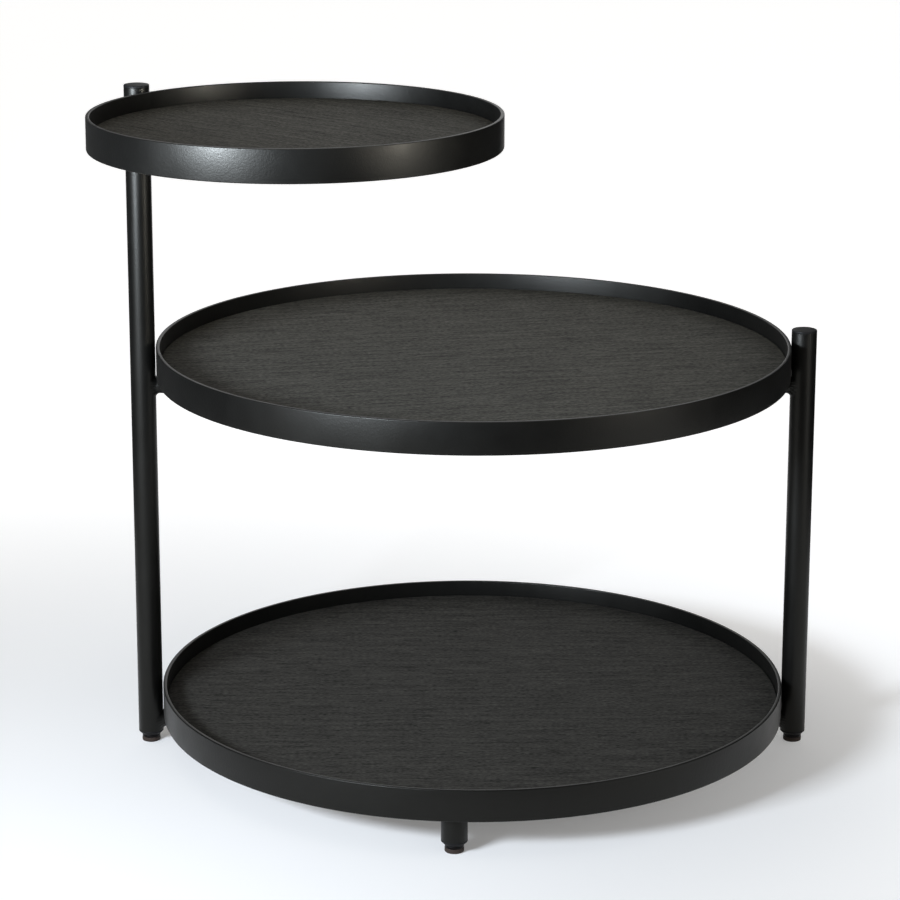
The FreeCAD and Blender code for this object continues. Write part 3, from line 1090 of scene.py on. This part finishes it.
@dataclass(frozen=True)
class Card:
    """A dark or grey card that stands on the floor and is seen only in reflections."""

    name: str
    place: Corner
    width: float
    height: float
    colour: str

    def build(self) -> None:
        """Add the sheet, turned to the middle of the floor."""
        x, y, _ = self.place
        across = Vector((-y, x, 0.0)).normalized() * self.width / 2
        foot = Vector(self.place)
        rise = Vector((0.0, 0.0, self.height))
        mesh = bpy.data.meshes.new(self.name)
        corners = [foot - across, foot + across, foot + across + rise, foot - across + rise]
        mesh.from_pydata(corners, [], [(0, 1, 2, 3)])
        material = bpy.data.materials.new(f"matt_card_{self.name}")
        material.use_nodes = True
        tree = material.node_tree
        matt = {"Base Color": linear(self.colour), "Roughness": 1.0, "Specular IOR Level": 0.0}
        set_inputs(tree, tree.nodes["Principled BSDF"], matt)
        mesh.materials.append(material)
        sheet = add_object(self.name, mesh)
        sheet.visible_camera = sheet.visible_diffuse = sheet.visible_shadow = False


@dataclass
class Studio:
    """A pale floor and walls, soft lamps, cards and the camera, with sizes in metres."""

    floor_half: float = 9.0
    floor_colour: str = "#eae8e5"
    floor_roughness: float = 0.9
    # The floor's glow rises from near the table, where the lamps reach it, to far off, where they do not.
    glow_centre: Corner = (-0.25, -0.2, 0.0)
    near_reach: float = 0.3
    near_glow: float = 0.15
    far_reach: float = 1.2
    far_glow: float = 0.7
    wall_glow: float = 0.98
    # The walls' light on the table, and the heights of its direction between which it fades to nothing.
    wall_light: float = 1.75
    wall_fade: Stop = (0.3, 0.6)
    camera_place: Corner = (-0.0270, -2.3603, 0.9034)
    camera_pitch: float = 14.21
    lens: float = 123.18
    sensor: float = 36.0
    shift: Stop = (0.0244, -0.08)

    def build(self) -> None:
        """Build the floor, the world, the lamps, the cards and the camera."""
        self.build_floor()
        self.build_world()
        for lamp in (
            Softbox("key_softbox", (-0.83, -1.0, 0.62), (0.0, 0.0, 0.58), 0.42, 0.2, 13.0, "#e6f1ff", 95.0),
            Softbox("fill_softbox", (1.05, -0.95, 0.6), (-0.1, 0.0, 0.8), 0.3, 0.14, 1.6, "#fffaf0", 50.0),
            Softbox("overhead_softbox", (-0.5, -0.2, 1.9), (-0.1, 0.0, 0.3), 1.2, 1.2, 3.0, "#fffaf2"),
        ):
            lamp.build()
        for card in (
            Card("front_flag", (0.16, -0.8, 0.0), 0.98, 1.2, "#0a0a0a"),
            Card("left_card", (-0.66, 0.3, 0.0), 1.5, 1.2, "#5c5c5c"),
            Card("right_card", (0.66, 0.3, 0.0), 1.5, 1.2, "#262626"),
        ):
            card.build()
        self.build_camera()
        bpy.context.scene.view_settings.view_transform = "Standard"

    def build_floor(self) -> None:
        """A wide plain sheet that keeps the shadow, looks white from above and hides nothing from below."""
        half = self.floor_half
        corners = [(-half, -half, 0), (half, -half, 0), (half, half, 0), (-half, half, 0)]
        mesh = bpy.data.meshes.new("studio_floor")
        mesh.from_pydata(corners, [], [(0, 1, 2, 3)])
        floor = add_object("studio_floor", mesh)
        material = bpy.data.materials.new("matt_white_paper")
        material.use_nodes = True
        tree = material.node_tree
        shader = tree.nodes["Principled BSDF"]
        place = add_node(tree, "TexCoord").outputs["Object"]
        reach = add_node(tree, "VectorMath", {0: place, 1: self.glow_centre}, operation="DISTANCE")
        rise = add_node(
            tree,
            "MapRange",
            {0: reach.outputs[1], 1: self.near_reach, 2: self.far_reach, 3: self.near_glow, 4: self.far_glow},
            interpolation_type="SMOOTHSTEP",
        )
        glow = add_node(tree, "Math", {0: self.shown(tree), 1: rise.outputs[0]}, operation="MULTIPLY")
        matt = {"Base Color": linear(self.floor_colour), "Roughness": self.floor_roughness}
        set_inputs(tree, shader, {**matt, "Specular IOR Level": 0.0})
        set_inputs(tree, shader, {"Emission Color": linear(WHITE), "Emission Strength": glow.outputs[0]})
        back = add_node(tree, "NewGeometry").outputs["Backfacing"]
        camera_ray = add_node(tree, "LightPath").outputs["Is Camera Ray"]
        below = add_node(tree, "Math", {0: back, 1: camera_ray}, operation="MULTIPLY").outputs[0]
        clear = add_node(tree, "BsdfTransparent").outputs[0]
        sheet = add_node(tree, "MixShader", {0: below, 1: shader.outputs[0], 2: clear})
        set_inputs(tree, tree.nodes["Material Output"], {"Surface": sheet.outputs[0]})
        mesh.materials.append(material)

    def build_world(self) -> None:
        """Walls that look pale to the camera and in reflections, and light the table softly from low down."""
        world = bpy.data.worlds.new("studio_walls")
        world.use_nodes = True
        bpy.context.scene.world = world
        tree = world.node_tree
        aim = add_node(tree, "SeparateXYZ", {0: add_node(tree, "TexCoord").outputs["Generated"]})
        start, end = self.wall_fade
        fade = {0: aim.outputs["Z"], 1: start, 2: end, 3: self.wall_light, 4: 0.0}
        light = add_node(tree, "MapRange", fade, interpolation_type="SMOOTHSTEP")
        strength = add_node(tree, "MapRange", {0: self.shown(tree), 3: light.outputs[0], 4: self.wall_glow})
        walls = {"Color": linear(WHITE), "Strength": strength.outputs[0]}
        set_inputs(tree, tree.nodes["Background"], walls)

    @staticmethod
    def shown(tree: Tree) -> Socket:
        """Tell what is seen, straight or mirrored, from what only gives light.

        Args:
            tree: The material's or world's node tree.

        Returns:
            A socket that is 1 for rays from the camera, a reflection or glass, and 0 for the rest.
        """
        rays = add_node(tree, "LightPath").outputs
        seen = rays["Is Camera Ray"]
        for name in ("Is Glossy Ray", "Is Transmission Ray"):
            seen = add_node(tree, "Math", {0: seen, 1: rays[name]}, operation="MAXIMUM").outputs[0]
        return seen

    def build_camera(self) -> None:
        """The camera, in front of the table and a little above it."""
        data = bpy.data.cameras.new("camera")
        data.sensor_width = self.sensor
        data.lens = self.lens
        data.shift_x, data.shift_y = self.shift
        camera = add_object("camera", data)
        camera.location = self.camera_place
        camera.rotation_euler = (math.radians(90 - self.camera_pitch), 0.0, 0.0)
        bpy.context.scene.camera = camera


@dataclass
class SideTable:
    """The whole table, with its sizes in millimetres."""

    tray_radius: float = 250.0
    top_radius: float = 155.0
    post_radius: float = 10.0
    post_gap: float = 1.5
    leg_inset: float = 18.0
    leg_turn: float = math.radians(4)
    arm_turn: float = math.radians(-40)
    arm_reach: float = 225.0
    plate_reach: float = 195.0
    bar_drop: float = 12.0
    ledge_middle: float = 16.5
    bottom_level: float = 30.0
    middle_level: float = 310.0
    top_level: float = 509.0
    tall_top: float = 539.0
    short_top: float = 344.0
    large_welds: int = 8
    top_welds: int = 6
    middle_grain: float = math.radians(11)
    bottom_grain: float = math.radians(1)
    # The bottom board's tones are the stain made darker by painted shade, standing in for the light that the
    # trays above keep from it.
    bottom_stain_and_painted_shade: Tones = ("#22211f", "#44423d")

    def build(self, frame: dict) -> None:
        """Build the uprights, bars, supports and trays.
        """
        post_offset = self.tray_radius + self.post_gap + self.post_radius
        leg_offset = self.tray_radius - self.leg_inset
        top_offset = self.top_radius + self.post_gap + self.post_radius
        low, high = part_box("short_post")
        short = Spot((low.x + high.x) / 2 / MM, (low.y + high.y) / 2 / MM)
        axis = short.away(-post_offset, 0.0)
        tall = axis.away(-post_offset, 0.0)
        top = tall.away(top_offset, self.arm_turn)
        leg_turns = {"front": -math.pi / 2 - self.leg_turn, "rear": math.pi / 2 - self.leg_turn}
        large = {"bottom": self.bottom_level, "middle": self.middle_level}

        Upright("tall_post", tall, self.tall_top, capped=True).build()
        Upright("short_post", short, self.short_top, capped=True).build()
        for name, turn in leg_turns.items():
            Upright(f"{name}_leg", axis.away(leg_offset, turn), self.bottom_level, capped=False).build()

        for name, level in large.items():
            bar = level - self.bar_drop
            Bar(f"{name}_cross_bar", tall, 0.0, bar, 2 * post_offset, True, True).build()
        bar = self.bottom_level - self.bar_drop
        for name, turn in leg_turns.items():
            Bar(f"{name}_leg_bar", axis, turn, bar, leg_offset, False, True, cross_start=True).build()
        bar = self.top_level - self.bar_drop
        Bar("top_tray_arm", tall, self.arm_turn, bar, self.arm_reach, True, False).build()

        reach = self.tray_radius - self.ledge_middle
        for name, level in large.items():
            Saddle(f"{name}_left_saddle", axis.away(-reach, 0.0), level, 0.0).build()
            Saddle(f"{name}_right_saddle", axis.away(reach, 0.0), level, 0.0).build()
        inner = self.post_radius + self.post_gap + self.ledge_middle
        for name, distance in (("inner", inner), ("outer", self.plate_reach)):
            place = tall.away(distance, self.arm_turn)
            Saddle(f"top_{name}_saddle", place, self.top_level, self.arm_turn).build()
        dress(frame, "top_tray_plate", STEEL)
        dress(frame, "top_plate_screws", ZINC)

        for tray in (
            # The bottom board's tones hold painted shade on top of the stain.
            Tray(
                "bottom", axis, self.bottom_level, self.tray_radius,
                self.bottom_grain, math.pi, self.large_welds, self.bottom_stain_and_painted_shade,
            ),
            Tray(
                "middle", axis, self.middle_level, self.tray_radius,
                self.middle_grain, math.pi, self.large_welds,
            ),
            Tray(
                "top", top, self.top_level, self.top_radius,
                self.arm_turn, math.pi + self.arm_turn, self.top_welds,
            ),
        ):
            tray.build(frame)


def main() -> None:
    """Load the frame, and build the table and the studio."""
    logging.basicConfig(level=logging.INFO, format="%(message)s")
    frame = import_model()
    SideTable().build(frame)
    Studio().build()


if __name__ == "__main__":
    main()
